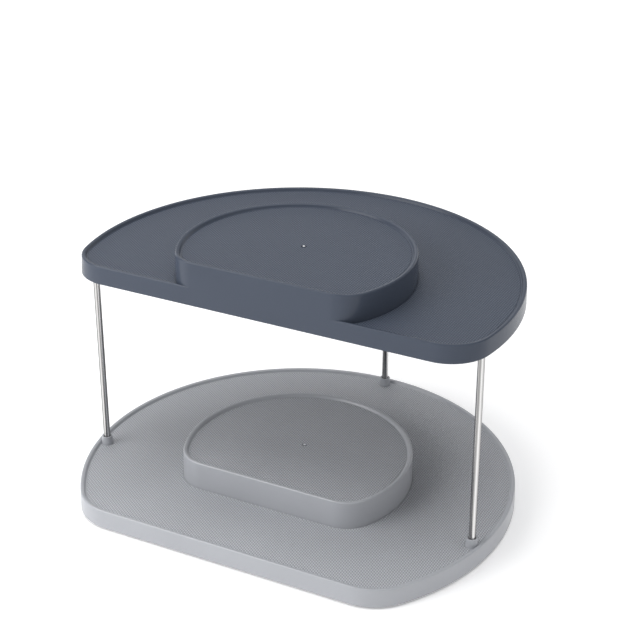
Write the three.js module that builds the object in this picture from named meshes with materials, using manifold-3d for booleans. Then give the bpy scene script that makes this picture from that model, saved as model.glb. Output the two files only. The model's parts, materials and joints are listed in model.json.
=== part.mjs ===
// Two-tier D-shaped turntable organiser for jars and tins.
//
// A grey lower tray and a slate upper tray, each with a raised D-shaped platform, are joined by three
// steel rods. The lower tray turns on a ball race over a low base with rubber feet.
//
// Millimetres, +Z up. +X runs along the straight front edges, +Y points to the rounded back, and the
// origin is on the supporting surface under the middle of the outline.

import * as THREE from 'three';
import { mergeVertices } from 'three/addons/utils/BufferGeometryUtils.js';
import Module from 'manifold-3d';

const wasm = await Module();
wasm.setup();

// ---------------------------------------------------------------- driving dimensions

// A D outline has one big arc round the turning axis, a straight front at a distance from that axis,
// and two corner arcs that blend them. Each is measured at the foot of its wall. A leaning front moves
// back by lean for each millimetre above the level foot.
const LOWER_D = { radius: 175, front: 122.5, corner: 42 };
const LOWER_PLATFORM_D = { radius: 92.5, front: 56.5, corner: 27 };
const AXIS_Y = LOWER_D.front - (LOWER_D.radius + LOWER_D.front) / 2;

// Levels of the lower tray.
const LOWER_SKIRT_Z = 2.0;
const LOWER_FLOOR_Z = 14.8;
const LOWER_RIM_Z = 17.2;
const LOWER_PLATFORM_RIM_Z = 37.6;

// Levels of the upper tray.
const UPPER_SKIRT_Z = 179.6;
const UPPER_FLOOR_Z = 191.4;
const UPPER_RIM_Z = 193.8;
const UPPER_PLATFORM_RIM_Z = 213.0;

// The upper tray's shelf and platform share one front wall, which leans back from the skirt's foot.
const UPPER_FRONT = { front: 62.4, lean: 0.102, foot: UPPER_SKIRT_Z };
const UPPER_D = { radius: 174, corner: 33.5, ...UPPER_FRONT };
const UPPER_PLATFORM_D = { radius: 92.3, corner: 25, ...UPPER_FRONT };

// Moulding details that both trays share.
const WALL = 2.4;
const DRAFT = Math.tan(THREE.MathUtils.degToRad(1.2));
const RIM_WIDTH = 3.3;
const RIM_ROUND = 0.8;
const RIM_HEIGHT = 2.4;
const RIM_LEAN = 0.5;
const EDGE_BREAK = 0.5;
const RIB_DEPTH = 2.5;
const RIB_WIDTH = 1.6;
const LOWER_RIBS = { inner: 96, angles: [-40, -140, 12, 168, 40, 140, 66, 114] };
const UPPER_RIBS = { inner: 94, angles: [12, 168, 40, 140, 66, 114] };

// The gap between two parts that touch, how far joined solids reach into each other, and how far a
// cutting tool passes the face that it opens.
const GAP = 0.3;
const EMBED = 0.5;
const PAST = 1;

// Rods and their sockets.
const ROD_CIRCLE = 166.6;
const ROD_ANGLES = { left: 190.7, right: -10.7, back: 90 };
const ROD_RADIUS = 2.6;
const COLLAR = { footRadius: 4.9, topRadius: 4.3, height: 7.2 };
const BOSS_RADIUS = 5.0;
const LOWER_BOSS_Z = 6.6;
const ROD_BOTTOM_Z = 9.0;
const ROD_SHOULDER_Z = 8.7;
const ROD_TAP = { radius: 1.8, depth: 10 };
const UPPER_BOSS_Z = 181.4;
const ROD_TOP_Z = 188.9;
const ROD_SCREW = { shank: 1.5, head: 3.3, headHeight: 1.7, reach: 8 };
const ROD_WASHER = { inner: 1.8, outer: 4.4, thickness: 0.7 };

// Turntable: base, ball race, race plate and centre pivot.
const BASE = { radius: 92, bottom: 1.2, top: 4.1, lipWidth: 3, lipDraft: 0.6, lipTop: 6.6, chamfer: 0.8 };
const RACE_RADIUS = 70;
const BALL = { radius: 3, count: 16, centreZ: 6.4 };
const GROOVE_RADIUS = 3.2;
const CAGE = { inner: 64, outer: 76, bottom: 5.4, top: 7.4, pocket: 3.3 };
const PLATE = { radius: 84, bottom: 8.6, top: 12.1, chamfer: 0.8 };
const HUB = { radius: 6, bottom: 3.3, bore: 2.2, headroom: 0.4 };
const PIVOT_DISH = { hole: 6.7, pocket: 13, ceiling: 3.3, crown: 17, crownSlope: 1.5, crownTop: 5.8 };
const PIVOT_WASHER = { inner: 2.3, outer: 10.5, bottom: 2.2, top: 3.0 };
const PIVOT_SCREW = { shank: 1.9, head: 4.2, headBottom: 0.5, headTop: 1.9, tip: 10.4 };
const PLATE_SCREW = { circle: 48, shank: 1.5, head: 3.4, headHeight: 1.6, tip: 20, hole: 1.8, tipRoom: 0.8 };
const PLATE_SCREW_ANGLES = [45, 135, 225, 315];
const SCREW_POST_RADIUS = 4.2;
const FOOT = { circle: 80, radius: 8, height: 2.0, recess: 1.1, chamfer: 0.6, count: 6, firstAngle: 30 };

// How finely round shapes are divided: small bores, rods and collars, and the wide turntable rings.
const BORE_SEGMENTS = 12;
const ROD_SEGMENTS = 20;
const RING_SEGMENTS = 48;
const ARC_STEPS = { corner: 6, big: 36, groove: 12 };

// ---------------------------------------------------------------- materials

const material = (color, roughness, metalness) =>
  new THREE.MeshStandardMaterial({ color, roughness, metalness });
const lightPlastic = material(0xa9acb3, 0.5, 0);
const slatePlastic = material(0x565c69, 0.5, 0);
const basePlastic = material(0x9a9da4, 0.55, 0);
const rubber = material(0x2c2d30, 0.85, 0);
const acetal = material(0xe9e7df, 0.4, 0);
const polishedSteel = material(0xcfd0d2, 0.15, 1);
const zincSteel = material(0xb4b7bb, 0.35, 1);

// ---------------------------------------------------------------- solid helpers

/** A manifold solid from a closed three.js geometry. */
function solid(geometry) {
  const bare = geometry.clone();
  bare.deleteAttribute('normal');
  bare.deleteAttribute('uv');
  const merged = mergeVertices(bare, 1e-4);
  return new wasm.Manifold(new wasm.Mesh({
    numProp: 3,
    vertProperties: Float32Array.from(merged.attributes.position.array),
    triVerts: Uint32Array.from(merged.index.array),
  }));
}

/** A three.js geometry from a manifold solid. */
function geometryOf(shape) {
  const mesh = shape.getMesh();
  const geometry = new THREE.BufferGeometry();
  geometry.setAttribute('position', new THREE.BufferAttribute(Float32Array.from(mesh.vertProperties), 3));
  geometry.setIndex(Array.from(mesh.triVerts));
  geometry.computeVertexNormals();
  return geometry;
}

/** A solid of revolution round Z. The profile is [radius, z] points, outward and upward. */
function turned(profile, segments = 32) {
  const lathe = new THREE.LatheGeometry(profile.map(([r, z]) => new THREE.Vector2(r, z)), segments);
  return solid(lathe.rotateX(Math.PI / 2));
}

/** A plain disc, rod or ring between two heights, with its centre at x, y. */
function disc(radius, bottom, top, x = 0, y = 0, segments = 32) {
  return turned([[0, bottom], [radius, bottom], [radius, top], [0, top]], segments).translate([x, y, 0]);
}

/** The x, y place at a radius and an angle in degrees, round the turning axis. */
function polar(radius, degrees) {
  const a = THREE.MathUtils.degToRad(degrees);
  return [radius * Math.cos(a), radius * Math.sin(a)];
}

/** An arc's points, without its first point. */
function arc(cx, cy, radius, from, to, steps) {
  return Array.from({ length: steps }, (_, i) => {
    const a = from + ((to - from) * (i + 1)) / steps;
    return [cx + radius * Math.cos(a), cy + radius * Math.sin(a)];
  });
}

/** A D outline at a level, moved inwards by inset, as points that run anticlockwise. */
function outlineD({ radius, front, corner, lean = 0, foot = 0 }, inset, z) {
  const straight = front - lean * Math.max(0, z - foot);
  const cornerY = corner - straight;
  const cornerX = Math.sqrt((radius - corner) ** 2 - cornerY ** 2);
  const blend = Math.atan2(cornerY, cornerX);
  const big = radius - inset;
  const small = corner - inset;
  return [
    [-cornerX, inset - straight],
    [cornerX, inset - straight],
    ...arc(cornerX, cornerY, small, -Math.PI / 2, blend, ARC_STEPS.corner),
    ...arc(0, 0, big, blend, Math.PI - blend, ARC_STEPS.big),
    ...arc(-cornerX, cornerY, small, Math.PI - blend, (3 * Math.PI) / 2, ARC_STEPS.corner).slice(0, -1),
  ];
}

/** A closed body through D outlines of one shape. Each ring is [inset, z], from the bottom up. */
function loftD(shape, rings) {
  const outlines = rings.map(([inset, z]) => outlineD(shape, inset, z).map(([x, y]) => [x, y, z]));
  const count = outlines[0].length;
  const positions = [...outlines.flat(), [0, 0, rings[0][1]], [0, 0, rings.at(-1)[1]]];
  const lowCentre = positions.length - 2;
  const highCentre = positions.length - 1;
  const lastRing = (rings.length - 1) * count;
  const index = [];
  for (let i = 0; i < count; i += 1) {
    const next = (i + 1) % count;
    index.push(lowCentre, next, i);
    index.push(highCentre, lastRing + i, lastRing + next);
    for (let ring = 0; ring < lastRing; ring += count) {
      index.push(ring + i, ring + next, ring + count + i);
      index.push(ring + next, ring + count + next, ring + count + i);
    }
  }
  const geometry = new THREE.BufferGeometry();
  geometry.setAttribute('position', new THREE.BufferAttribute(Float32Array.from(positions.flat()), 3));
  geometry.setIndex(index);
  return solid(geometry);
}

/** Joins a list of solids into one. */
const joined = (shapes) => shapes.reduce((whole, shape) => whole.add(shape));

// ---------------------------------------------------------------- trays

/** A drafted wall with a rounded top edge: the outside of a tray or of a platform. */
function draftedBody(shape, bottom, top) {
  const inset = (z) => (z - bottom) * DRAFT;
  const low = bottom + EDGE_BREAK;
  const shoulder = top - RIM_ROUND;
  return loftD(shape, [
    [EDGE_BREAK, bottom],
    [inset(low), low],
    [inset(shoulder), shoulder],
    [inset(shoulder) + RIM_ROUND * 0.3, top - RIM_ROUND * 0.3],
    [inset(shoulder) + RIM_ROUND, top],
  ]);
}

/** The shallow recess inside a rim, from the floor up past the rim. */
function rimRecess(shape, base, floor, rim) {
  const inset = (rim - base) * DRAFT + RIM_WIDTH;
  return loftD(shape, [[inset + RIM_LEAN, floor], [inset, rim], [inset, rim + PAST]]);
}

/** The hollow under a floor, open at the bottom, with its walls parallel to the outside. */
function underHollow(shape, bottom, ceiling) {
  const inset = (z) => (z - bottom) * DRAFT + WALL;
  return loftD(shape, [[inset(bottom), bottom - PAST], [inset(bottom), bottom], [inset(ceiling), ceiling]]);
}

/** Low radial stiffening ribs under a floor, reaching from an inner radius out to the wall. */
function floorRibs(ceiling, { radius }, { inner, angles }) {
  const outer = radius - WALL / 2;
  return angles.map((degrees) => {
    const rib = new THREE.BoxGeometry(outer - inner, RIB_WIDTH, RIB_DEPTH + PAST);
    rib.translate((outer + inner) / 2, 0, ceiling - (RIB_DEPTH - PAST) / 2);
    return solid(rib.rotateZ(THREE.MathUtils.degToRad(degrees)));
  });
}

const rodPlaces = Object.fromEntries(
  Object.entries(ROD_ANGLES).map(([name, degrees]) => [name, polar(ROD_CIRCLE, degrees)]),
);
const platePlaces = PLATE_SCREW_ANGLES.map((degrees) => polar(PLATE_SCREW.circle, degrees));
const footPlaces = Array.from({ length: FOOT.count }, (_, i) =>
  polar(FOOT.circle, FOOT.firstAngle + (360 / FOOT.count) * i));
const ballPlaces = Array.from({ length: BALL.count }, (_, i) =>
  polar(RACE_RADIUS, (360 / BALL.count) * i));

/** The lower tray: shelf, rim, raised platform, rod collars and the posts for the race plate. */
function lowerTray() {
  const floorUnder = LOWER_FLOOR_Z - WALL;
  const platformUnder = LOWER_PLATFORM_RIM_Z - RIM_HEIGHT - WALL;
  const shelf = draftedBody(LOWER_D, LOWER_SKIRT_Z, LOWER_RIM_Z)
    .subtract(rimRecess(LOWER_D, LOWER_SKIRT_Z, LOWER_FLOOR_Z, LOWER_RIM_Z));
  const platform = draftedBody(LOWER_PLATFORM_D, floorUnder, LOWER_PLATFORM_RIM_Z)
    .subtract(rimRecess(LOWER_PLATFORM_D, floorUnder, LOWER_PLATFORM_RIM_Z - RIM_HEIGHT,
      LOWER_PLATFORM_RIM_Z));
  const collars = Object.values(rodPlaces).map(([x, y]) => turned([
    [0, floorUnder],
    [COLLAR.footRadius, floorUnder],
    [COLLAR.footRadius, LOWER_FLOOR_Z],
    [COLLAR.topRadius, LOWER_FLOOR_Z + COLLAR.height],
    [0, LOWER_FLOOR_Z + COLLAR.height],
  ], ROD_SEGMENTS).translate([x, y, 0]));
  const shell = joined([shelf, platform, ...collars])
    .subtract(underHollow(LOWER_D, LOWER_SKIRT_Z, floorUnder))
    .subtract(underHollow(LOWER_PLATFORM_D, floorUnder, platformUnder));
  const bosses = Object.values(rodPlaces).map(([x, y]) =>
    disc(BOSS_RADIUS, LOWER_BOSS_Z, LOWER_FLOOR_Z - EMBED, x, y, ROD_SEGMENTS));
  const posts = platePlaces.map(([x, y]) =>
    disc(SCREW_POST_RADIUS, PLATE.top + GAP, platformUnder + EMBED, x, y, ROD_SEGMENTS));
  const ribs = floorRibs(floorUnder, LOWER_D, LOWER_RIBS);
  const drilled = joined([shell, ...bosses, ...posts, ...ribs]);
  const rodBores = Object.values(rodPlaces).map(([x, y]) => joined([
    disc(ROD_RADIUS + GAP, ROD_SHOULDER_Z, LOWER_FLOOR_Z + COLLAR.height + PAST, x, y, ROD_SEGMENTS),
    disc(ROD_WASHER.inner, LOWER_BOSS_Z - PAST, ROD_SHOULDER_Z + EMBED, x, y, BORE_SEGMENTS),
  ]));
  const postBores = platePlaces.map(([x, y]) =>
    disc(PLATE_SCREW.hole, PLATE.top, PLATE_SCREW.tip + PLATE_SCREW.tipRoom, x, y, BORE_SEGMENTS));
  return drilled.subtract(joined([...rodBores, ...postBores]));
}

/** The upper tray: a shorter D whose platform rises from its straight front wall and leans back. */
function upperTray() {
  const floorUnder = UPPER_FLOOR_Z - WALL;
  const platformFloor = UPPER_PLATFORM_RIM_Z - RIM_HEIGHT;
  const shelf = draftedBody(UPPER_D, UPPER_SKIRT_Z, UPPER_RIM_Z)
    .subtract(rimRecess(UPPER_D, UPPER_SKIRT_Z, UPPER_FLOOR_Z, UPPER_RIM_Z));
  const platform = draftedBody(UPPER_PLATFORM_D, UPPER_SKIRT_Z, UPPER_PLATFORM_RIM_Z);
  const shell = shelf.add(platform)
    .subtract(rimRecess(UPPER_PLATFORM_D, UPPER_SKIRT_Z, platformFloor, UPPER_PLATFORM_RIM_Z))
    .subtract(underHollow(UPPER_D, UPPER_SKIRT_Z, floorUnder))
    .subtract(underHollow(UPPER_PLATFORM_D, UPPER_SKIRT_Z, platformFloor - WALL));
  const bosses = Object.values(rodPlaces).map(([x, y]) =>
    disc(BOSS_RADIUS, UPPER_BOSS_Z, UPPER_FLOOR_Z - EMBED, x, y, ROD_SEGMENTS));
  const ribs = floorRibs(floorUnder, UPPER_D, UPPER_RIBS);
  const bores = Object.values(rodPlaces).map(([x, y]) =>
    disc(ROD_RADIUS + GAP, UPPER_BOSS_Z - PAST, ROD_TOP_Z + GAP, x, y, ROD_SEGMENTS));
  return joined([shell, ...bosses, ...ribs]).subtract(joined(bores));
}

// ---------------------------------------------------------------- rods and fasteners

/** A steel rod with a blind tapped hole in its lower end. */
function rod([x, y]) {
  const bar = disc(ROD_RADIUS, ROD_BOTTOM_Z, ROD_TOP_Z, x, y, ROD_SEGMENTS);
  return bar.subtract(
    disc(ROD_TAP.radius, ROD_BOTTOM_Z - PAST, ROD_BOTTOM_Z + ROD_TAP.depth, x, y, BORE_SEGMENTS));
}

/** A pan-head screw that points up, with a cross recess in the underside of its head. */
function screw({ shank, head, headBottom, headTop, tip }, [x, y]) {
  const body = turned([
    [0, headBottom],
    [head * 0.7, headBottom],
    [head, headBottom + (headTop - headBottom) * 0.5],
    [head, headTop],
    [shank, headTop],
    [shank, tip - shank],
    [0, tip],
  ], BORE_SEGMENTS);
  const depth = (headTop - headBottom) * 0.5;
  const slot = (wide, long) => solid(new THREE.BoxGeometry(wide, long, depth * 2)
    .translate(0, 0, headBottom));
  const cross = slot(head * 1.1, head * 0.26).add(slot(head * 0.26, head * 1.1));
  return body.subtract(cross).translate([x, y, 0]);
}

/** A flat ring or washer. */
function washer(inner, outer, bottom, top, [x, y], segments = ROD_SEGMENTS) {
  return turned([
    [inner, bottom],
    [outer, bottom],
    [outer, top],
    [inner, top],
    [inner, bottom],
  ], segments).translate([x, y, 0]);
}

// ---------------------------------------------------------------- turntable

/** The ring-shaped tool that cuts a ball groove: a torus section round the turning axis. */
function grooveRing(centreZ) {
  const section = [
    [RACE_RADIUS + GROOVE_RADIUS, centreZ],
    ...arc(RACE_RADIUS, centreZ, GROOVE_RADIUS, 0, 2 * Math.PI, ARC_STEPS.groove),
  ];
  return turned(section, RING_SEGMENTS);
}

/** The fixed base: a dished disc with a race groove, an outer lip, a pivot crown and foot recesses. */
function baseDisc() {
  const { radius, bottom, top, lipWidth, lipDraft, lipTop, chamfer } = BASE;
  const { hole, pocket, ceiling, crown, crownSlope, crownTop } = PIVOT_DISH;
  const dish = turned([
    [0, bottom],
    [radius - chamfer, bottom],
    [radius, bottom + chamfer],
    [radius, lipTop],
    [radius - lipWidth + lipDraft, lipTop],
    [radius - lipWidth, top],
    [crown + crownSlope, top],
    [crown, crownTop],
    [0, crownTop],
  ], RING_SEGMENTS);
  const recesses = footPlaces.map(([x, y]) =>
    disc(FOOT.radius + GAP, bottom - PAST, bottom + FOOT.recess, x, y, ROD_SEGMENTS));
  return dish
    .subtract(grooveRing(BALL.centreZ))
    .subtract(disc(hole, bottom - PAST, crownTop + PAST))
    .subtract(disc(pocket, bottom - PAST, ceiling))
    .subtract(joined(recesses));
}

/** The turning race plate, screwed under the lower tray, with the hub that holds the pivot screw. */
function racePlate() {
  const { radius, bottom, top, chamfer } = PLATE;
  const plate = turned([
    [0, HUB.bottom],
    [HUB.radius, HUB.bottom],
    [HUB.radius, bottom],
    [radius - chamfer, bottom],
    [radius, bottom + chamfer],
    [radius, top],
    [0, top],
  ], RING_SEGMENTS);
  const holes = platePlaces.map(([x, y]) =>
    disc(PLATE_SCREW.hole, bottom - PAST, top + PAST, x, y, BORE_SEGMENTS));
  return plate
    .subtract(grooveRing(BALL.centreZ))
    .subtract(disc(HUB.bore, HUB.bottom - PAST, PIVOT_SCREW.tip + HUB.headroom, 0, 0, BORE_SEGMENTS))
    .subtract(joined(holes));
}

/** The flat cage ring that spaces the balls round the race. */
function ballCage() {
  const ring = washer(CAGE.inner, CAGE.outer, CAGE.bottom, CAGE.top, [0, 0], RING_SEGMENTS);
  const pockets = ballPlaces.map(([x, y]) =>
    disc(CAGE.pocket, CAGE.bottom - PAST, CAGE.top + PAST, x, y, BORE_SEGMENTS));
  return ring.subtract(joined(pockets));
}

/** A rubber foot with a softened lower edge. */
function foot([x, y]) {
  const { radius, height, chamfer } = FOOT;
  return turned([
    [0, 0],
    [radius - chamfer, 0],
    [radius, chamfer],
    [radius, height],
    [0, height],
  ], ROD_SEGMENTS).translate([x, y, 0]);
}

// ---------------------------------------------------------------- assembly

const carousel = new THREE.Group();
carousel.position.y = AXIS_Y;
const organiser = new THREE.Group();
organiser.add(carousel);

/** Adds one named mesh that is placed round the turning axis. */
function add(name, shape, look) {
  const mesh = new THREE.Mesh(geometryOf(shape), look.clone());
  mesh.name = name;
  carousel.add(mesh);
}

add('base_disc', baseDisc(), basePlastic);
footPlaces.forEach((place, i) => add(`foot_${i + 1}`, foot(place), rubber));

add('ball_cage', ballCage(), acetal);
ballPlaces.forEach(([x, y], i) => {
  const ball = solid(new THREE.IcosahedronGeometry(BALL.radius, 1)).translate([x, y, BALL.centreZ]);
  add(`ball_${String(i + 1).padStart(2, '0')}`, ball, polishedSteel);
});

add('race_plate', racePlate(), acetal);
platePlaces.forEach((place, i) => {
  const headTop = PLATE.bottom - GAP;
  const headBottom = headTop - PLATE_SCREW.headHeight;
  add(`race_plate_screw_${i + 1}`, screw({ ...PLATE_SCREW, headBottom, headTop }, place), zincSteel);
});
add('pivot_washer',
  washer(PIVOT_WASHER.inner, PIVOT_WASHER.outer, PIVOT_WASHER.bottom, PIVOT_WASHER.top, [0, 0]),
  zincSteel);
add('pivot_screw', screw(PIVOT_SCREW, [0, 0]), zincSteel);

add('lower_tray', lowerTray(), lightPlastic);
add('upper_tray', upperTray(), slatePlastic);
Object.entries(rodPlaces).forEach(([name, place]) => {
  const washerTop = LOWER_BOSS_Z - GAP;
  const washerBottom = washerTop - ROD_WASHER.thickness;
  const headTop = washerBottom - GAP;
  const headBottom = headTop - ROD_SCREW.headHeight;
  const tip = ROD_BOTTOM_Z + ROD_SCREW.reach;
  add(`rod_${name}`, rod(place), polishedSteel);
  add(`rod_washer_${name}`,
    washer(ROD_WASHER.inner, ROD_WASHER.outer, washerBottom, washerTop, place), zincSteel);
  add(`rod_screw_${name}`, screw({ ...ROD_SCREW, headBottom, headTop, tip }, place), zincSteel);
});

export default organiser;
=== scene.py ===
"""Looks of a two-tier D-shaped turntable organiser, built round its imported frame.

Two moulded trays on three steel rods turn on a ball race over a base with rubber feet. Every piece is
in metres, in the frame's own axes, and stands for the CAD node whose place it takes.
"""

import json
import math
from collections import namedtuple

import bmesh
import bpy
from mathutils import Matrix, Vector


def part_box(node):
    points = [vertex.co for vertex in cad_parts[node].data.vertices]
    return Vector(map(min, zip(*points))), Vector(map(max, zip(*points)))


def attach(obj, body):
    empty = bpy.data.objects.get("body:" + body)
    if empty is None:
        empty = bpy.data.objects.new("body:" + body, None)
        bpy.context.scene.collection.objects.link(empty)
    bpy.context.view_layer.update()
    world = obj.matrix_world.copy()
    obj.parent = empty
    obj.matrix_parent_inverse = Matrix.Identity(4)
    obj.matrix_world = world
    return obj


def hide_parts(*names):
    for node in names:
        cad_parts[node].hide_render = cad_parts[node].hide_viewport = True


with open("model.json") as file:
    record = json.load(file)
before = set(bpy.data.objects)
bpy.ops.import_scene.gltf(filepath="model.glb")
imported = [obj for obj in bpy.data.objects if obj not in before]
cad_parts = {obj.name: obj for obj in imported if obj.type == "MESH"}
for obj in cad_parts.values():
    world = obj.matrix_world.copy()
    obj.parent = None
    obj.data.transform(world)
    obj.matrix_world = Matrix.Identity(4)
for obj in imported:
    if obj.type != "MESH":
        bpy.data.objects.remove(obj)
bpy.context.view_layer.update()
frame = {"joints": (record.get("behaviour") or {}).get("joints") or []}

# ---------------------------------------------------------------- driving dimensions, in metres

MM = 0.001
AXIS = Vector(frame["joints"][0]["pos_m"])
LOWER_LOW, LOWER_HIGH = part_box("lower_tray")
UPPER_LOW, UPPER_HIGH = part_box("upper_tray")

# A D outline: the big arc's radius, the straight front's distance from the axis, the corner radius, and
# how far the front leans back for each metre above the level called foot.
D = namedtuple("D", "radius front corner lean foot", defaults=(0, 0))
LOWER_D = D(LOWER_HIGH.y - AXIS.y, AXIS.y - LOWER_LOW.y, 42 * MM)
UPPER_D = D(UPPER_HIGH.y - AXIS.y, AXIS.y - UPPER_LOW.y, 33.5 * MM, 0.102, UPPER_LOW.z)
FLUSH = 0.02 * MM
LOWER_PLATFORM_D = D(92.5 * MM, 56.5 * MM, 27 * MM)
UPPER_PLATFORM_D = D(92.3 * MM, UPPER_D.front + FLUSH, 25 * MM, UPPER_D.lean, UPPER_D.foot)

# The levels of each shelf's floor and rim, and the sections that both trays share.
LOWER_FLOOR, LOWER_RIM = LOWER_LOW.z + 12.8 * MM, LOWER_LOW.z + 15.2 * MM
UPPER_FLOOR, UPPER_RIM = UPPER_LOW.z + 11.8 * MM, UPPER_LOW.z + 14.2 * MM
RIM_HEIGHT = 2.4 * MM
RIM_WIDTH = 3.3 * MM
WALL = 2.4 * MM
DRAFT = math.tan(math.radians(1.2))

# Grained fields on the floors, and the smooth margins round them.
FIELD_RISE = 0.12 * MM
RIM_MARGIN = 1.6 * MM
FOOT_MARGIN = 0.9 * MM
COLLAR_CLEARING = 5.6 * MM
GRAIN_COLUMN = 1.78 * MM
GRAIN_ROW = 2.41 * MM

# The mould gate's place on a platform, from the axis, and the size of its dimple and nub.
GATE = Vector((0.2 * MM, 11.3 * MM, 0))
DIMPLE_RADIUS, DIMPLE_DEPTH = 2.4 * MM, 1.3 * MM
NUB_RADIUS, NUB_RISE = 0.95 * MM, 0.5 * MM
# How near the gate a face lies to take the nub's near-white colour, which is partly real stress-whitening
# and partly a painted highlight.
NUB_PAINT_RADIUS, NUB_PAINT_HEIGHT = 1.0 * MM, 0.8 * MM

# Rod bosses and collars, race plate posts, and the bores in them, as radii and heights.
RODS = ("left", "right", "back")
PLATE_SCREWS = [f"race_plate_screw_{i}" for i in range(1, 5)]
COLLAR_HEIGHT, COLLAR_FOOT, COLLAR_TOP = 7.2 * MM, 4.9 * MM, 4.3 * MM
BOSS_RADIUS = 5.0 * MM
LOWER_BOSS_LIFT, UPPER_BOSS_LIFT = 4.6 * MM, 1.8 * MM
SCREW_LEDGE = 2.1 * MM
POST_RADIUS = 4.2 * MM
ROD_BORE, ROD_MOUTH = 2.85 * MM, 3.3 * MM
SCREW_BORE = 1.8 * MM

# Radial ribs under the shelves: where they start, and their angles from +X.
RIB_DEPTH, RIB_THICKNESS = 2.5 * MM, 1.6 * MM
LOWER_RIB_START, LOWER_RIBS = 96 * MM, (-40, -140, 12, 168, 40, 140, 66, 114)
UPPER_RIB_START, UPPER_RIBS = 94 * MM, (12, 168, 40, 140, 66, 114)

# The turntable's balls and feet, and the radii of a ball, a groove's section and a cage pocket.
BALLS = [f"ball_{i:02d}" for i in range(1, 17)]
FEET = [f"foot_{i}" for i in range(1, 7)]
BALL_RADIUS, GROOVE, POCKET = 3 * MM, 3.2 * MM, 3.3 * MM

# Screws as shank radius and head height, and the pivot washer's hole.
ROD_SCREW, PLATE_SCREW, PIVOT_SCREW = (1.5 * MM, 1.7 * MM), (1.5 * MM, 1.6 * MM), (1.9 * MM, 1.4 * MM)
PIVOT_HOLE = 2.3 * MM

# How far a tool reaches past a face that it cuts, and how far one piece of a moulding sits in another.
PAST = 1 * MM
EMBED = 0.8 * MM

# How finely outlines, round pieces and groove sections are divided.
BIG_STEPS, CORNER_STEPS, FRONT_STEPS = 180, 18, 24
ROUND_STEPS, GROOVE_STEPS = 144, 20

# Points closer than this are one point, and a ring smaller than this is a pole.
WELD = 0.001 * MM
POLE = 0.0001 * MM

# The view, as its target, its distance and its two angles in degrees, and the point that lamps face.
VIEW_TARGET, VIEW_DISTANCE = Vector((0.0, 0.0046, 0.138)), 1.245
VIEW_AZIMUTH, VIEW_ELEVATION = 27.18, 26.64
LIT_POINT = Vector((0, 0, 0.1))

# ---------------------------------------------------------------- mesh helpers


def rounded(corners, steps=5):
    """A profile of (a, z) points. A corner given as (a, z, radius) is rounded to that radius."""
    points = []
    for k, corner in enumerate(corners):
        here = Vector(corner[:2])
        radius = corner[2] if len(corner) > 2 else 0
        if not radius:
            points.append(here)
            continue
        before = (Vector(corners[k - 1][:2]) - here).normalized()
        after = (Vector(corners[k + 1][:2]) - here).normalized()
        half = before.angle(after) / 2
        centre = here + (before + after).normalized() * radius / math.sin(half)
        start = here + before * radius / math.tan(half) - centre
        turn = start.angle_signed(here + after * radius / math.tan(half) - centre)
        for step in range(steps + 1):
            points.append(centre + Matrix.Rotation(-turn * step / steps, 2) @ start)
    return points


def outline(shape, inset, z):
    """A D outline at a level, moved inwards, as (x, y) points that run anticlockwise round the axis."""
    radius, corner = shape.radius, shape.corner
    front = shape.front - shape.lean * max(0, z - shape.foot)
    corner_y = corner - front
    corner_x = math.sqrt((radius - corner) ** 2 - corner_y ** 2)
    blend = math.atan2(corner_y, corner_x)

    def arc(x, y, r, start, end, steps):
        angles = [start + (end - start) * (i + 1) / steps for i in range(steps)]
        return [(x + r * math.cos(a), y + r * math.sin(a)) for a in angles]

    straight = [(corner_x * (2 * i / FRONT_STEPS - 1), inset - front) for i in range(FRONT_STEPS + 1)]
    small = corner - inset
    right = arc(corner_x, corner_y, small, -math.pi / 2, blend, CORNER_STEPS)
    back = arc(0, 0, radius - inset, blend, math.pi - blend, BIG_STEPS)
    left = arc(-corner_x, corner_y, small, math.pi - blend, 1.5 * math.pi, CORNER_STEPS)[:-1]
    return straight + right + back + left


def mesh_object(name, bm):
    """A new object in the scene from a bmesh, which is freed."""
    mesh = bpy.data.meshes.new(name)
    bm.to_mesh(mesh)
    bm.free()
    obj = bpy.data.objects.new(name, mesh)
    bpy.context.scene.collection.objects.link(obj)
    return obj


def skin(bm, pairs):
    """Joins pairs of loops of vertices with faces. A loop of one vertex is a pole."""
    for low, high in pairs:
        count = max(len(low), len(high))
        for i in range(count):
            j = (i + 1) % count
            quad = [low[i % len(low)], low[j % len(low)], high[j % len(high)], high[i % len(high)]]
            bm.faces.new(list(dict.fromkeys(quad)))


def loft(name, shape, profile):
    """A closed body through D outlines. The profile is (inset, z) points."""
    bm = bmesh.new()
    loops = [[bm.verts.new((AXIS.x + x, AXIS.y + y, z)) for x, y in outline(shape, inset, z)]
             for inset, z in profile]
    skin(bm, zip(loops, loops[1:]))
    bm.faces.new(list(reversed(loops[0])))
    bm.faces.new(loops[-1])
    return mesh_object(name, bm)


def circle(bm, centre, radius, z, segments, phase=0.0):
    """A level ring of vertices, or the one vertex where it shrinks to the axis."""
    if radius < POLE:
        return [bm.verts.new((centre.x, centre.y, z))]
    ring = []
    for i in range(segments):
        angle = math.tau * (i + phase) / segments
        x, y = centre.x + radius * math.cos(angle), centre.y + radius * math.sin(angle)
        ring.append(bm.verts.new((x, y, z)))
    return ring


def turned(name, profile, centre, segments=64, closed=False, phase=0.0):
    """A body of revolution round a vertical line. The profile is (radius, z) points."""
    bm = bmesh.new()
    loops = [circle(bm, centre, radius, z, segments, phase) for radius, z in profile]
    ends = loops[1:] + ([loops[0]] if closed else [])
    skin(bm, zip(loops, ends))
    return mesh_object(name, bm)


def cutter(profile, centre, segments=48, closed=False):
    """A turned tool whose edges never line up with those of the piece that it cuts."""
    return turned("cutter", profile, centre, segments, closed, phase=0.37)


def block(name, size, place, turn=0.0):
    """A box of a size, turned about Z and then placed."""
    bm = bmesh.new()
    spin = Matrix.Rotation(turn, 4, "Z")
    bmesh.ops.create_cube(bm, size=1, matrix=Matrix.Translation(place) @ spin @ Matrix.Diagonal((*size, 1)))
    return mesh_object(name, bm)


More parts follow.
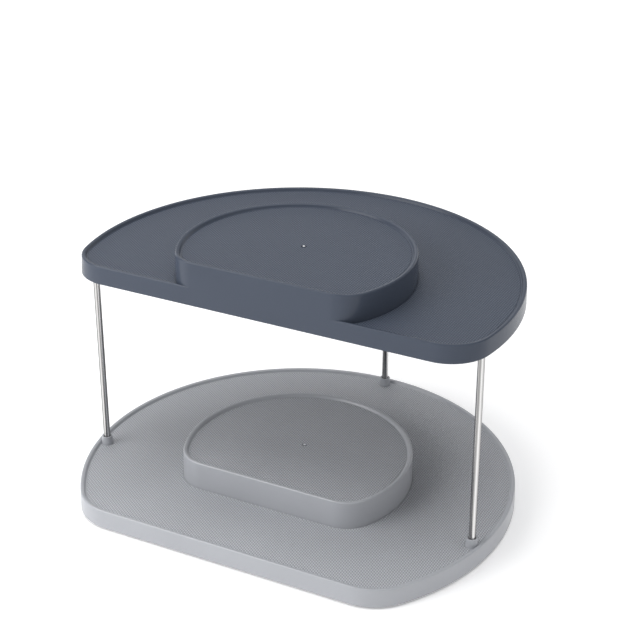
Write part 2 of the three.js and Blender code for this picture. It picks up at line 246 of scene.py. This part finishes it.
def together(objects):
    """One object that holds several separate solids."""
    first, *rest = objects
    bm = bmesh.new()
    for obj in objects:
        bm.from_mesh(obj.data)
    bm.to_mesh(first.data)
    bm.free()
    for obj in rest:
        bpy.data.objects.remove(obj)
    return first


def combine(target, operation, *tools):
    """Unites the target with the tools, cuts them from it, or keeps what they share."""
    tool = together(tools)
    modifier = target.modifiers.new(operation, "BOOLEAN")
    modifier.operation = operation
    modifier.solver = "EXACT"
    modifier.object = tool
    evaluated = target.evaluated_get(bpy.context.evaluated_depsgraph_get())
    mesh = bpy.data.meshes.new_from_object(evaluated)
    target.modifiers.clear()
    target.data = mesh
    bm = bmesh.new()
    bm.from_mesh(mesh)
    bmesh.ops.remove_doubles(bm, verts=bm.verts, dist=WELD)
    bmesh.ops.dissolve_degenerate(bm, dist=WELD, edges=bm.edges)
    bm.to_mesh(mesh)
    bm.free()
    bpy.data.objects.remove(tool)
    return target


def dress(obj, body, slot, nodes, *materials, sharp=30):
    """Shades a piece, gives it its materials, sets it on its body and lets it stand for CAD nodes."""
    obj.data.materials.clear()
    for material in materials:
        obj.data.materials.append(material)
    obj.data.shade_smooth()
    obj.data.set_sharp_from_angle(angle=math.radians(sharp))
    weighted = obj.modifiers.new("weighted_normals", "WEIGHTED_NORMAL")
    weighted.keep_sharp = True
    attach(obj, body)
    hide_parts(*nodes)
    return obj


def middle(node):
    """The centre of a CAD node's box."""
    low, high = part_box(node)
    return (low + high) / 2


def at_axis(z=0.0):
    """A point on the turning axis."""
    return Vector((AXIS.x, AXIS.y, z))


def round_axis(radius, degrees, z=0.0):
    """A point at a radius and an angle round the turning axis."""
    angle = math.radians(degrees)
    return at_axis(z) + Vector((radius * math.cos(angle), radius * math.sin(angle), 0))


# ---------------------------------------------------------------- materials


class Nodes:
    """A short way to wire a material's nodes."""

    def __init__(self, name):
        self.material = bpy.data.materials.new(name)
        self.material.use_nodes = True
        self.tree = self.material.node_tree
        self.shader = self.tree.nodes["Principled BSDF"]
        self.place = self.add("ShaderNodeTexCoord").outputs["Object"]

    def add(self, kind, inputs=None, **settings):
        node = self.tree.nodes.new(kind)
        for key, value in settings.items():
            setattr(node, key, value)
        for key, value in (inputs or {}).items():
            self.set(node.inputs[key], value)
        return node

    def set(self, socket, value):
        if isinstance(value, bpy.types.NodeSocket):
            self.tree.links.new(value, socket)
        else:
            socket.default_value = value

    def math(self, operation, a, b=0.0):
        return self.add("ShaderNodeMath", {0: a, 1: b}, operation=operation).outputs[0]

    def noise(self, scale, detail=2.0, stretch=(1, 1, 1)):
        place = self.add("ShaderNodeMapping", {"Vector": self.place, "Scale": stretch}).outputs[0]
        return self.add("ShaderNodeTexNoise", {"Vector": place, "Scale": scale, "Detail": detail}).outputs[0]

    def spread(self, value, low, high, start=0.3, end=0.7):
        return self.add("ShaderNodeMapRange", {
            "Value": value, "From Min": start, "From Max": end, "To Min": low, "To Max": high,
        }).outputs[0]

    def tint(self, colour, factor):
        """The colour made lighter or darker by a factor that varies over the surface."""
        node = self.add("ShaderNodeMix", data_type="RGBA", blend_type="MULTIPLY")
        node.inputs["Factor"].default_value = 1.0
        self.set(node.inputs["A"], (*colour, 1))
        shade = self.add("ShaderNodeCombineColor", {0: factor, 1: factor, 2: factor}).outputs[0]
        self.set(node.inputs["B"], shade)
        return node.outputs["Result"]

    def bump(self, height, distance, strength=1.0, normal=None):
        inputs = {"Height": height, "Distance": distance, "Strength": strength}
        if normal:
            inputs["Normal"] = normal
        return self.add("ShaderNodeBump", inputs).outputs[0]

    def shade(self, **sockets):
        for name, value in sockets.items():
            self.set(self.shader.inputs[name.replace("_", " ")], value)
        return self.material


def moulded(name, colour, rough=0.36, gloss=0.5):
    """Satin moulded plastic: a slight cloud in the colour and a fine spark-eroded bloom."""
    n = Nodes(name)
    cloud = n.noise(14, 4)
    bloom = n.noise(2600, 2)
    swirl = n.noise(60, 3)
    colour = n.tint(colour, n.spread(cloud, 0.97, 1.03))
    normal = n.bump(bloom, 0.02 * MM, 0.5, n.bump(swirl, 0.05 * MM, 0.1))
    return n.shade(Base_Color=colour, Roughness=n.spread(swirl, rough - 0.01, rough + 0.02), Normal=normal,
                   Specular_IOR_Level=gloss)


def grain_with_painted_shade(name, colour, gain, rough=0.5):
    """The same plastic with a fine lattice of raised dots, for the floors that jars stand on. Light and
    shade are painted on the dots: the colour is lighter on their tops and darker in the hollows between
    them.

    The dots stand in columns along Y. Each column is shifted against the next by half a dot, and the
    diagonals that lean one way are cut deeper than those that lean the other way.
    """
    n = Nodes(name)
    split = n.add("ShaderNodeSeparateXYZ", {"Vector": n.place})
    half = n.math("MULTIPLY", split.outputs[0], math.pi / GRAIN_COLUMN)
    row = n.math("MULTIPLY", split.outputs[1], math.tau / GRAIN_ROW)
    columns = n.math("COSINE", n.math("MULTIPLY", half, 2.0))
    deep = n.math("MULTIPLY", n.math("COSINE", n.math("ADD", half, row)), 0.85)
    shallow = n.math("MULTIPLY", n.math("COSINE", n.math("SUBTRACT", half, row)), 0.2)
    height = n.spread(n.math("ADD", columns, n.math("ADD", deep, shallow)), 0.0, 1.0, -1.3, 2.05)
    cloud = n.noise(14, 4)
    bloom = n.noise(2600, 2)
    # Painted light and shade: the colour follows the dots' height, lighter on their tops and darker in the
    # hollows.
    tone_with_painted_light = n.math("MULTIPLY", n.spread(cloud, 0.97, 1.03), n.spread(height, 0.65 * gain, 1.38 * gain, 0, 1))
    normal = n.bump(bloom, 0.02 * MM, 0.4, n.bump(height, 0.3 * MM, 1.0))
    return n.shade(Base_Color=n.tint(colour, tone_with_painted_light),
                   Roughness=n.spread(height, rough + 0.1, rough - 0.04, 0, 1), Normal=normal)


def polished_steel(name, colour, rough=0.14, painted_reflection_streak=0.0):
    """Drawn and polished steel: lines along Z, darker and brighter streaks between them that are partly the
    drawn finish and partly a painted reflection, and a little haze.
    """
    n = Nodes(name)
    lines = n.noise(900, 3, (1, 1, 0.01))
    reflection_bands = n.noise(620, 1, (1, 1, 0.002))
    haze = n.noise(40, 3)
    # The bands paint dark and bright reflection streaks into the colour, over the drawn finish.
    tone_with_painted_light = n.math("MULTIPLY", n.spread(haze, 0.95, 1.0), n.spread(reflection_bands, 1 - painted_reflection_streak, 1 + painted_reflection_streak, 0.36, 0.64))
    rough = n.math("ADD", n.spread(lines, rough - 0.04, rough + 0.05), n.spread(haze, 0.0, 0.04))
    return n.shade(Base_Color=n.tint(colour, tone_with_painted_light), Metallic=1.0, Roughness=rough,
                   Specular_Tint=(0.35, 0.35, 0.36, 1), Normal=n.bump(lines, 0.01 * MM, 0.25))


def zinc_plate(name, colour):
    """Bright zinc plate: fine crystals and slightly uneven gloss."""
    n = Nodes(name)
    crystals = n.noise(1400, 4)
    cloud = n.noise(180, 3)
    colour = n.tint(colour, n.spread(cloud, 0.9, 1.05))
    return n.shade(Base_Color=colour, Metallic=1.0, Roughness=n.spread(crystals, 0.26, 0.42),
                   Normal=n.bump(crystals, 0.02 * MM, 0.4))


def soft_rubber(name, colour):
    """Matt rubber with a fine pitted skin and a dusty cloud."""
    n = Nodes(name)
    pits = n.noise(1800, 4)
    dust = n.noise(120, 5)
    return n.shade(Base_Color=n.tint(colour, n.spread(dust, 0.85, 1.25)),
                   Roughness=n.spread(pits, 0.74, 0.9), Normal=n.bump(pits, 0.06 * MM, 0.6))


def acetal(name, colour):
    """Milky white acetal with flow lines."""
    n = Nodes(name)
    flow = n.noise(90, 4, (1, 0.3, 1))
    return n.shade(Base_Color=n.tint(colour, n.spread(flow, 0.95, 1.02)), Subsurface_Weight=0.15,
                   Subsurface_Scale=0.5 * MM, Roughness=n.spread(flow, 0.28, 0.4),
                   Normal=n.bump(flow, 0.03 * MM, 0.3))


LIGHT = (0.380, 0.391, 0.418)
SLATE = (0.0425, 0.0535, 0.0775)
light_wall = moulded("light_grey_satin", LIGHT, rough=0.29)
# The floors' materials carry painted light and shade on their dots.
light_grain_painted_shade = grain_with_painted_shade("light_grey_grain_painted_shade", LIGHT, 1.07)
slate_wall = moulded("slate_satin", (0.057, 0.0692, 0.0960), rough=0.25, gloss=0.22)
slate_grain_painted_shade = grain_with_painted_shade("slate_grain_painted_shade", SLATE, 1.33)
# The gate nub's near-white colour is partly real stress-whitening and partly a painted highlight for the
# nub's glint.
gate_nub_painted_highlight = moulded("whitened_gate_nub_painted_highlight", (0.84, 0.85, 0.88), 0.24)
base_plastic = moulded("mid_grey_satin", (0.30, 0.31, 0.335), 0.5)
# The rods' colour streaks are partly the drawn finish and partly a painted reflection.
steel = polished_steel("polished_rod_steel", (0.50, 0.495, 0.49), painted_reflection_streak=0.6)
ball_steel = polished_steel("bearing_steel", (0.60, 0.60, 0.61), 0.08)
zinc = zinc_plate("bright_zinc", (0.66, 0.68, 0.72))
rubber = soft_rubber("soft_black_rubber", (0.026, 0.027, 0.029))
white_acetal = acetal("natural_acetal", (0.78, 0.77, 0.73))

# ---------------------------------------------------------------- trays


def drafted(z, foot):
    """How far a drafted wall has leaned in at a height above its foot."""
    return (z - foot) * DRAFT


def bore(place, radius, low, high, segments=48):
    """The tool for a plain round hole."""
    return cutter([(0, low), (radius, low), (radius, high), (0, high)], place, segments)


def rim_profile(edge, top, floor):
    """A rim from its outer edge to the floor inside it: a chamfer, a narrow crest, a soft inner side."""
    inner = edge + RIM_WIDTH
    chamfer_width, chamfer_height, crest = 0.55 * MM, 0.75 * MM, 1.3 * MM
    crisp, soft = 0.2 * MM, 0.6 * MM
    return [
        (edge, top - chamfer_height, 0.25 * MM),
        (edge + chamfer_width, top - 0.03 * MM, crisp),
        (edge + crest, top, soft),
        (inner - 0.5 * MM, top - 0.4 * MM, soft),
        (inner + soft, floor, soft),
        (inner + 1.5 * MM, floor),
    ]


def shelf(name, shape, skirt, floor, rim):
    """A tray's shelf with its skirt and rim, hollow underneath."""
    ceiling = floor - WALL
    inner = drafted(ceiling, skirt) + WALL
    return loft(name, shape, rounded([
        (inner + 2 * MM, ceiling),
        (inner, ceiling, 0.7 * MM),
        (WALL, skirt, 0.3 * MM),
        (0, skirt, 0.35 * MM),
        *rim_profile(drafted(rim, skirt), rim, floor),
    ]))


def platform(name, shape, foot, low, rim):
    """A raised platform with a rim, as a solid that starts low inside the shelf's floor."""
    return loft(name, shape, rounded([
        (drafted(low, foot), low),
        *rim_profile(drafted(rim, foot), rim, rim - RIM_HEIGHT),
    ]))


def platform_hollow(shape, foot, low, rim):
    """The hollow under a platform, as a tool that cuts it."""
    ceiling = rim - RIM_HEIGHT - WALL
    inner = drafted(ceiling, foot) + WALL
    return loft("hollow", shape, rounded([
        (drafted(low, foot) + WALL, low),
        (inner, ceiling, 1 * MM),
        (inner + 3 * MM, ceiling),
    ]))


def field(shape, inset, floor):
    """A slightly raised pad with a bevelled edge, which carries the grain."""
    return loft("field", shape, [
        (inset, floor - 0.5 * MM),
        (inset, floor),
        (inset + FIELD_RISE, floor + FIELD_RISE),
    ])


def field_gap(shape, foot, floor):
    """The tool that keeps a field clear of a platform's foot."""
    edge = drafted(floor, foot) - FOOT_MARGIN
    return loft("gap", shape, [
        (edge, floor - PAST),
        (edge, floor),
        (edge - 4 * FIELD_RISE, floor + 4 * FIELD_RISE),
    ])


def foot_groove(shape, foot, floor, shelf_shape, skirt):
    """The tool for the fine shadow line round a platform's foot, kept inside the shelf's rim."""
    width, depth, from_rim = 0.5 * MM, 0.35 * MM, 0.7 * MM
    edge = drafted(floor, foot) - width
    inside = drafted(floor, skirt) + RIM_WIDTH + from_rim
    tool = loft("groove", shape, [(edge, floor - depth), (edge, floor + PAST)])
    return combine(tool, "INTERSECT", loft("inside", shelf_shape, [
        (inside, floor - 2 * PAST), (inside, floor + 2 * PAST),
    ]))


def moulding(name, shape, raised, skirt, foot, floor, rim, high, clearings=()):
    """A shelf and its platform as one body, with a field on each floor. Clearings cut the shelf's field."""
    ceiling = floor - WALL
    tray = shelf(name, shape, skirt, floor, rim)
    combine(tray, "DIFFERENCE", foot_groove(raised, foot, floor, shape, skirt))
    combine(tray, "UNION", platform("platform", raised, foot, ceiling + EMBED, high))
    combine(tray, "DIFFERENCE", platform_hollow(raised, foot, ceiling - PAST, high))
    shelf_field = field(shape, drafted(rim, skirt) + RIM_WIDTH + RIM_MARGIN, floor)
    platform_field = field(raised, drafted(high, foot) + RIM_WIDTH + RIM_MARGIN, high - RIM_HEIGHT)
    combine(shelf_field, "DIFFERENCE", field_gap(raised, foot, floor))
    if clearings:
        combine(shelf_field, "DIFFERENCE", *clearings)
    return combine(tray, "UNION", shelf_field, platform_field)


def ribs(shape, ceiling, inner, degrees):
    """Low radial ribs under a shelf, sunk a little into its floor."""
    outer = shape.radius - WALL / 2
    size = (outer - inner, RIB_THICKNESS, RIB_DEPTH + PAST)
    z = ceiling - RIB_DEPTH / 2 + PAST / 2
    return [block("rib", size, round_axis((inner + outer) / 2, a, z), math.radians(a)) for a in degrees]


def gate_mark(place):
    """A shallow dimple and the small nub in it, where the plastic entered the mould."""
    low, slope, soft = place.z - DIMPLE_DEPTH, 0.5 * MM, 0.3 * MM
    root, shoulder = low - 0.5 * MM, place.z + NUB_RISE - 0.1 * MM
    dimple = cutter(rounded([
        (0, low), (DIMPLE_RADIUS - slope, low, soft), (DIMPLE_RADIUS, place.z + soft), (0, place.z + soft),
    ]), place, 40)
    nub = turned("nub", rounded([
        (0, root), (NUB_RADIUS + 0.15 * MM, root), (NUB_RADIUS, shoulder, soft), (0, place.z + NUB_RISE),
    ]), place, 24)
    return dimple, nub


def grain_fields(obj, gate, *levels):
    """Gives the second material to the flat tops of the raised fields and the third, whose near-white colour
    is partly a painted highlight, to the gate's nub.
    """
    for polygon in obj.data.polygons:
        centre = polygon.center
        flat = polygon.normal.z > 0.999
        polygon.material_index = int(flat and any(abs(centre.z - z) < 0.01 * MM for z in levels))
        if (centre.xy - gate.xy).length < NUB_PAINT_RADIUS and abs(centre.z - gate.z) < NUB_PAINT_HEIGHT:
            polygon.material_index = 2


def finish_tray(tray, node, floor, top, *materials):
    """Puts the gate mark on a tray's platform, and gives the tray its body, node and materials."""
    gate = at_axis(top + FIELD_RISE) + GATE
    dimple, nub = gate_mark(gate)
    combine(tray, "DIFFERENCE", dimple)
    combine(tray, "UNION", nub)
    dress(tray, "carousel", f"{node}_plastic", [node], *materials)
    grain_fields(tray, gate, floor + FIELD_RISE, top + FIELD_RISE)


def lower_tray():
    """The lower tray: shelf, platform, collars and bosses for the rods, and posts for the race plate."""
    skirt, rim, floor = LOWER_LOW.z, LOWER_RIM, LOWER_FLOOR
    ceiling, top = floor - WALL, LOWER_HIGH.z - RIM_HEIGHT
    rods = [middle(f"rod_{rod}") for rod in RODS]
    clearings = [bore(p, COLLAR_CLEARING, floor - PAST, floor + PAST) for p in rods]
    tray = moulding("lower_tray_moulding", LOWER_D, LOWER_PLATFORM_D, skirt, ceiling, floor, rim,
                    LOWER_HIGH.z, clearings)
    boss, collar = skirt + LOWER_BOSS_LIFT, floor + COLLAR_HEIGHT
    ledge, mouth = boss + SCREW_LEDGE, collar + 0.05 * MM
    soft = 0.4 * MM
    combine(tray, "UNION", *[turned("boss", rounded([
        (0, boss), (BOSS_RADIUS, boss, soft), (BOSS_RADIUS, floor - EMBED), (COLLAR_FOOT, floor),
        (COLLAR_TOP, collar, soft), (0, collar),
    ]), p, 48) for p in rods])
    screws = [middle(screw) for screw in PLATE_SCREWS]
    post_foot, post_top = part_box("race_plate")[1].z + 0.3 * MM, top - WALL + 0.6 * MM
    combine(tray, "UNION", *[turned("post", rounded([
        (0, post_foot), (POST_RADIUS, post_foot, 0.3 * MM), (POST_RADIUS, post_top), (0, post_top),
    ]), p, 32) for p in screws])
    combine(tray, "UNION", *ribs(LOWER_D, ceiling, LOWER_RIB_START, LOWER_RIBS))
    combine(tray, "DIFFERENCE", *[cutter([
        (0, boss - PAST), (SCREW_BORE, boss - PAST), (SCREW_BORE, ledge), (ROD_BORE, ledge),
        (ROD_BORE, collar - soft), (ROD_MOUTH, mouth), (ROD_MOUTH, collar + PAST), (0, collar + PAST),
    ], p) for p in rods])
    bore_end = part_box(PLATE_SCREWS[0])[1].z + 0.8 * MM
    combine(tray, "DIFFERENCE", *[bore(p, SCREW_BORE, post_foot - PAST, bore_end, 24) for p in screws])
    finish_tray(tray, "lower_tray", floor, top, light_wall, light_grain_painted_shade, gate_nub_painted_highlight)


def upper_tray():
    """The upper tray: its platform stands flush with the straight front wall of its shelf."""
    skirt, rim, floor = UPPER_LOW.z, UPPER_RIM, UPPER_FLOOR
    tray = moulding("upper_tray_moulding", UPPER_D, UPPER_PLATFORM_D, skirt, skirt, floor, rim, UPPER_HIGH.z)
    rods = [middle(f"rod_{rod}") for rod in RODS]
    boss, root = skirt + UPPER_BOSS_LIFT, floor - 0.5 * MM
    soft = 0.4 * MM
    combine(tray, "UNION", *[turned("boss", rounded([
        (0, boss), (BOSS_RADIUS, boss, soft), (BOSS_RADIUS, root), (0, root),
    ]), p, 48) for p in rods])
    combine(tray, "UNION", *ribs(UPPER_D, floor - WALL, UPPER_RIB_START, UPPER_RIBS))
    bore_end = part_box("rod_back")[1].z + 0.25 * MM
    combine(tray, "DIFFERENCE", *[cutter([
        (0, boss - PAST), (ROD_MOUTH, boss - PAST), (ROD_BORE, boss + soft), (ROD_BORE, bore_end),
        (0, bore_end),
    ], p) for p in rods])
    finish_tray(tray, "upper_tray", floor, UPPER_HIGH.z - RIM_HEIGHT, slate_wall, slate_grain_painted_shade, gate_nub_painted_highlight)


# ---------------------------------------------------------------- rods and fasteners


def steel_rod(name, node):
    """A polished rod with broken edges and a blind hole in its lower end."""
    low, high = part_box(node)
    radius = (high.x - low.x) / 2
    depth, chamfer = 10 * MM, 0.3 * MM
    rod = turned(name, rounded([
        (0, low.z + depth), (SCREW_BORE, low.z + depth), (SCREW_BORE, low.z, 0.1 * MM),
        (radius, low.z, chamfer), (radius, high.z, chamfer), (0, high.z),
    ]), (low + high) / 2)
    return dress(rod, "carousel", "rod_steel", [node], steel)


def washer(name, node, hole):
    """A stamped washer with one rolled edge."""
    low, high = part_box(node)
    outer = (high.x - low.x) / 2
    ring = turned(name, rounded([
        (hole, low.z), (outer, low.z, 0.2 * MM), (outer, high.z, 0.1 * MM), (hole, high.z),
    ]), (low + high) / 2, closed=True)
    return dress(ring, "carousel", "zinc_steel", [node], zinc)


def screw(name, node, shank, head_height):
    """A pan-head screw that points up, with a cross recess and a helical thread."""
    low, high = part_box(node)
    centre = (low + high) / 2
    head = (high.x - low.x) / 2
    bearing = low.z + head_height
    pitch, depth, segments, rings_per_turn = 0.6 * MM, 0.22 * MM, 24, 6
    root, start, end = shank - depth / 2, bearing + pitch / 2, high.z - shank
    crown, side = head * 0.72, low.z + head_height * 0.55
    bm = bmesh.new()
    loops = [circle(bm, centre, radius, z, segments) for radius, z in rounded([
        (0, low.z), (crown, low.z, 0.5 * MM), (head, side, 0.4 * MM),
        (head, bearing, 0.1 * MM), (root, bearing, 0.05 * MM), (root, start),
    ], 4)]
    z = start
    while z < end:
        z += pitch / rings_per_turn
        fade = min(1, (z - bearing) / pitch / 2, (end + pitch - z) / pitch / 2)
        ring = []
        for i in range(segments):
            phase = (z / pitch - i / segments) % 1
            radius = shank - depth + depth * fade * (1 - abs(2 * phase - 1))
            angle = math.tau * i / segments
            x, y = centre.x + radius * math.cos(angle), centre.y + radius * math.sin(angle)
            ring.append(bm.verts.new((x, y, z)))
        loops.append(ring)
    loops.append([bm.verts.new((centre.x, centre.y, high.z))])
    skin(bm, zip(loops, loops[1:]))
    body = mesh_object(name, bm)
    long_side, short_side = head * 1.1, head * 0.26
    arms = [block("arm", (wide, deep, head_height), Vector((centre.x, centre.y, low.z)))
            for wide, deep in ((long_side, short_side), (short_side, long_side))]
    combine(body, "DIFFERENCE", combine(arms[0], "UNION", arms[1]))
    return dress(body, "carousel", "zinc_steel", [node], zinc)


# ---------------------------------------------------------------- turntable

BALL_CENTRE = middle(BALLS[0])
RACE_RADIUS = (BALL_CENTRE - at_axis(BALL_CENTRE.z)).length


def groove_tool():
    """A ring of round section that cuts a ball groove."""
    angles = [math.tau * i / GROOVE_STEPS for i in range(GROOVE_STEPS)]
    section = [(RACE_RADIUS + GROOVE * math.cos(a), BALL_CENTRE.z + GROOVE * math.sin(a)) for a in angles]
    return cutter(section, at_axis(), ROUND_STEPS, closed=True)


def base():
    """The fixed base: a dished disc with a race groove, a lip, a pivot opening and stiffening steps."""
    low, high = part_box("base_disc")
    radius, bottom, lip = (high.x - low.x) / 2, low.z, high.z
    floor, lip_width = bottom + 2.9 * MM, 2.4 * MM
    crown, crown_top = 17 * MM, bottom + 4.6 * MM
    step, step_start, step_end = 0.4 * MM, 20 * MM, 55 * MM
    slope, crisp, soft = 0.6 * MM, 0.2 * MM, 0.5 * MM
    disc = turned("turntable_base", rounded([
        (0, bottom), (step_start, bottom, crisp), (step_start + slope, bottom + step, crisp),
        (step_end, bottom + step, crisp), (step_end + slope, bottom, crisp), (radius, bottom, 0.8 * MM),
        (radius, lip, soft), (radius - lip_width, lip, 0.4 * MM), (radius - lip_width - slope, floor, soft),
        (crown + 1.5 * MM, floor, soft), (crown, crown_top, soft), (0, crown_top),
    ]), at_axis(), ROUND_STEPS)
    combine(disc, "DIFFERENCE", groove_tool())
    dish, dish_top, throat = 13 * MM, bottom + 2.1 * MM, 6.7 * MM
    combine(disc, "DIFFERENCE", cutter(rounded([
        (0, bottom - PAST), (dish + step, bottom - PAST), (dish, bottom + step), (dish, dish_top, 0.3 * MM),
        (throat, dish_top, crisp), (throat, crown_top + PAST), (0, crown_top + PAST),
    ]), at_axis(), 96))
    recess, recess_top = 8.3 * MM, bottom + 1.1 * MM
    combine(disc, "DIFFERENCE", *[bore(middle(node), recess, bottom - PAST, recess_top) for node in FEET])
    mark, mark_circle, mark_top = 3 * MM, 38 * MM, bottom + 0.52 * MM
    marks = [round_axis(mark_circle, 30 + 60 * i) for i in range(6)]
    combine(disc, "DIFFERENCE", *[bore(p, mark, bottom - PAST, mark_top, 32) for p in marks])
    return dress(disc, "base", "base_plastic", ["base_disc"], base_plastic)


def foot(name, node):
    """A rubber foot with a soft edge and two grip rings moulded in its tread."""
    low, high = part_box(node)
    radius = (high.y - low.y) / 2
    crisp, tread, groove = 0.15 * MM, 0.3 * MM, 0.35 * MM
    profile = [(0, low.z + tread), (1.8 * MM, low.z + tread, 0.2 * MM)]
    for ring in (2.2 * MM, 4.6 * MM):
        profile += [
            (ring, low.z, crisp), (ring + 1.5 * MM, low.z, crisp),
            (ring + 1.75 * MM, low.z + groove, 0.1 * MM), (ring + 2.15 * MM, low.z + groove, 0.1 * MM),
        ]
    profile += [(radius - 1 * MM, low.z, 0.2 * MM), (radius, low.z + tread, 0.5 * MM),
                (radius, high.z, crisp), (0, high.z)]
    pad = turned(name, rounded(profile, 4), (low + high) / 2, 72)
    return dress(pad, "base", "foot_rubber", [node], rubber)


def race_plate():
    """The turning plate with the upper ball groove and the hub for the pivot screw."""
    low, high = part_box("race_plate")
    radius, bottom, hub = (high.x - low.x) / 2, high.z - 3.5 * MM, 6 * MM
    plate = turned("race_plate_moulding", rounded([
        (0, low.z), (hub, low.z, 0.3 * MM), (hub, bottom, 0.4 * MM), (radius, bottom, 0.8 * MM),
        (radius, high.z, 0.3 * MM), (0, high.z),
    ]), at_axis(), ROUND_STEPS)
    combine(plate, "DIFFERENCE", groove_tool())
    bore_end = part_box("pivot_screw")[1].z + 0.4 * MM
    pivot = bore(at_axis(), 2.2 * MM, low.z - PAST, bore_end, 32)
    holes = [bore(middle(screw), SCREW_BORE, bottom - PAST, high.z + PAST, 32) for screw in PLATE_SCREWS]
    combine(plate, "DIFFERENCE", pivot, *holes)
    return dress(plate, "carousel", "cage_plastic", ["race_plate"], white_acetal)


def ball_cage():
    """The flat ring whose pockets space the balls."""
    low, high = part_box("ball_cage")
    outer = (high.x - low.x) / 2
    inner = 2 * RACE_RADIUS - outer
    edge = 0.3 * MM
    ring = turned("ball_cage_ring", rounded([
        (inner, low.z, edge), (outer, low.z, edge), (outer, high.z, edge), (inner, high.z, edge),
        (inner, (low.z + high.z) / 2),
    ]), at_axis(), ROUND_STEPS, closed=True)
    pockets = [bore(middle(ball), POCKET, low.z - PAST, high.z + PAST, 40) for ball in BALLS]
    combine(ring, "DIFFERENCE", *pockets)
    return dress(ring, "cage", "cage_plastic", ["ball_cage"], white_acetal)


def race_balls():
    """The polished balls in their pockets."""
    bm = bmesh.new()
    for ball in BALLS:
        place = Matrix.Translation(middle(ball))
        bmesh.ops.create_icosphere(bm, subdivisions=4, radius=BALL_RADIUS, matrix=place)
    return dress(mesh_object("race_balls", bm), "cage", "ball_steel", BALLS, ball_steel, sharp=180)


# ---------------------------------------------------------------- stage


def seen_from(azimuth, elevation):
    """The direction towards a viewer. Azimuth 0 is the front, and 90 is the right side."""
    turn, rise = math.radians(azimuth), math.radians(elevation)
    return Vector((math.sin(turn) * math.cos(rise), -math.cos(turn) * math.cos(rise), math.sin(rise)))


def lamp(name, kind, azimuth, elevation, energy, spread, distance=2):
    """A soft light that looks at the object: a square of a size, or a sun of an angle."""
    light = bpy.data.lights.new(name, kind)
    light.energy = energy
    if kind == "AREA":
        light.shape = "SQUARE"
        light.size = spread
    else:
        light.angle = math.radians(spread)
    obj = bpy.data.objects.new(name, light)
    towards = seen_from(azimuth, elevation)
    obj.location = LIT_POINT + towards * distance
    obj.rotation_euler = towards.to_track_quat("Z", "Y").to_euler()
    bpy.context.scene.collection.objects.link(obj)


def studio():
    """A pale floor, large soft lights and a quiet sky that is white at the horizon."""
    bm = bmesh.new()
    bmesh.ops.create_grid(bm, x_segments=1, y_segments=1, size=6)
    floor = mesh_object("studio_floor", bm)
    n = Nodes("pale_floor")
    floor.data.materials.append(n.shade(
        Base_Color=n.tint((0.95, 0.95, 0.955), n.spread(n.noise(3, 2), 0.995, 1.0)), Roughness=0.7,
        Emission_Color=(1, 1, 1, 1), Emission_Strength=0.2))
    world = bpy.data.worlds.new("studio_sky")
    world.use_nodes = True
    tree = world.node_tree
    split = tree.nodes.new("ShaderNodeSeparateXYZ")
    band = tree.nodes.new("ShaderNodeMapRange")
    for socket, value in (("From Min", 0.12), ("From Max", 0.24), ("To Min", 1.0), ("To Max", 0.37)):
        band.inputs[socket].default_value = value
    tree.links.new(tree.nodes.new("ShaderNodeTexCoord").outputs["Generated"], split.inputs[0])
    tree.links.new(split.outputs[2], band.inputs["Value"])
    tree.nodes["Background"].inputs["Color"].default_value = (1, 1, 1, 1)
    tree.links.new(band.outputs[0], tree.nodes["Background"].inputs["Strength"])
    bpy.context.scene.world = world
    lamp("key", "AREA", -42, 30, 9.9, 0.9, 1.3)
    lamp("overhead", "SUN", 0, 90, 1.4, 50)
    lamp("left_edge", "AREA", -130, 40, 4.3, 1.4)
    lamp("right_side", "AREA", 90, 25, 1.9, 1.4)
    bpy.context.scene.view_settings.view_transform = "Standard"


def camera():
    """A long lens that looks down past the front right corner."""
    data = bpy.data.cameras.new("camera")
    data.lens, data.sensor_width = 90, 36
    data.shift_x, data.shift_y = -0.0007, 0.0104
    cam = bpy.data.objects.new("camera", data)
    towards = seen_from(VIEW_AZIMUTH, VIEW_ELEVATION)
    cam.location = VIEW_TARGET + towards * VIEW_DISTANCE
    cam.rotation_euler = towards.to_track_quat("Z", "Y").to_euler()
    bpy.context.scene.collection.objects.link(cam)
    bpy.context.scene.camera = cam


# ---------------------------------------------------------------- assembly

camera()
studio()
lower_tray()
upper_tray()
for rod in RODS:
    steel_rod(f"steel_rod_{rod}", f"rod_{rod}")
    washer(f"steel_washer_{rod}", f"rod_washer_{rod}", SCREW_BORE)
    screw(f"steel_screw_{rod}", f"rod_screw_{rod}", *ROD_SCREW)
base()
for number, node in enumerate(FEET, 1):
    foot(f"rubber_foot_{number}", node)
race_plate()
for number, node in enumerate(PLATE_SCREWS, 1):
    screw(f"plate_screw_{number}", node, *PLATE_SCREW)
washer("centre_washer", "pivot_washer", PIVOT_HOLE)
screw("centre_screw", "pivot_screw", *PIVOT_SCREW)
ball_cage()
race_balls()
